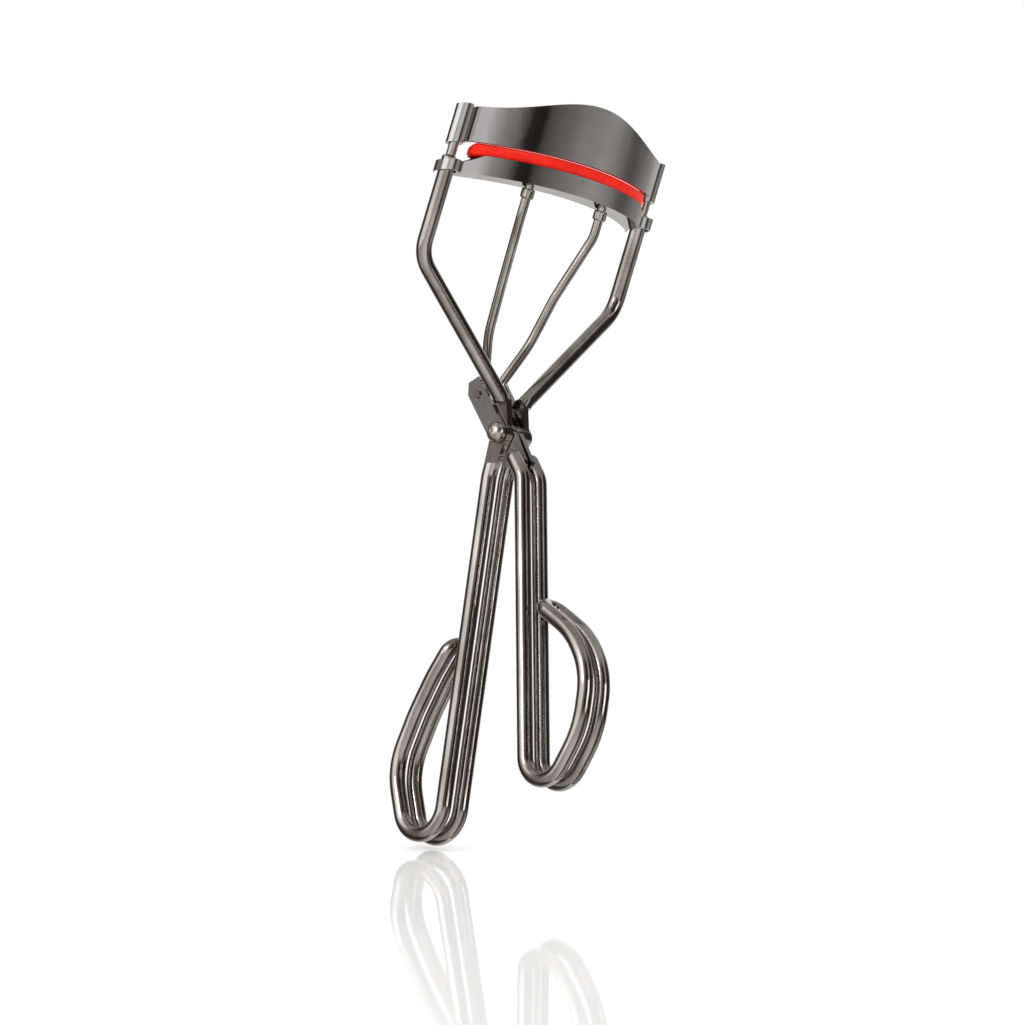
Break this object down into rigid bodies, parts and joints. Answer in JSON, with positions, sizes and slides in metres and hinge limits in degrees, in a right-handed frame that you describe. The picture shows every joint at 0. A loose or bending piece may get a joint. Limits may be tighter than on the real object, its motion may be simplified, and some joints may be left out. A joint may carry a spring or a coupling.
{
  "type": "eyelash curler",
  "caption": "Bent-wire eyelash curler with a bowed upper jaw, a soft lash pad on a sliding lower jaw and two finger loops on a riveted hinge.",
  "frame": {"origin": "centre of the main rivet, on the middle plane between the two sides", "axes": "+X along the hinge rivet and across the jaws, -Y to the front where the eye is, +Z from the finger loops up to the jaws"},
  "size_m": [0.0448, 0.0406, 0.1099],
  "materials": {
    "black_nickel_wire": "gloss",
    "black_nickel_sheet": "gloss",
    "silicone_red": "satin",
    "rivet_steel": "satin"
  },
  "bodies": {
    "frame": {"frame_wire": "black_nickel_wire", "upper_jaw": "black_nickel_sheet", "main_rivet": "rivet_steel"},
    "lever": {"lever_wire": "black_nickel_wire", "link_bracket": "black_nickel_sheet", "pivot_washer": "rivet_steel"},
    "lower_jaw_set": {"lower_jaw": "black_nickel_sheet", "lash_pad": "silicone_red", "right_inner_rod": "black_nickel_wire", "left_inner_rod": "black_nickel_wire", "right_collar": "black_nickel_wire", "left_collar": "black_nickel_wire"}
  },
  "joints": [
    {"name": "lever_hinge", "type": "hinge", "parent": "frame", "child": "lever", "pos_m": [0, 0, 0], "axis": [-1, 0, 0], "range_deg": [0, 45]},
    {"name": "link_hinge", "type": "hinge", "parent": "lever", "child": "lower_jaw_set", "pos_m": [0, 0.00441, 0.00629], "axis": [1, 0, 0], "range_deg": [0, 47.92]}
  ],
  "couplings": [
    {"joint": "link_hinge", "follows": "lever_hinge", "ratio": 1.065}
  ]
}
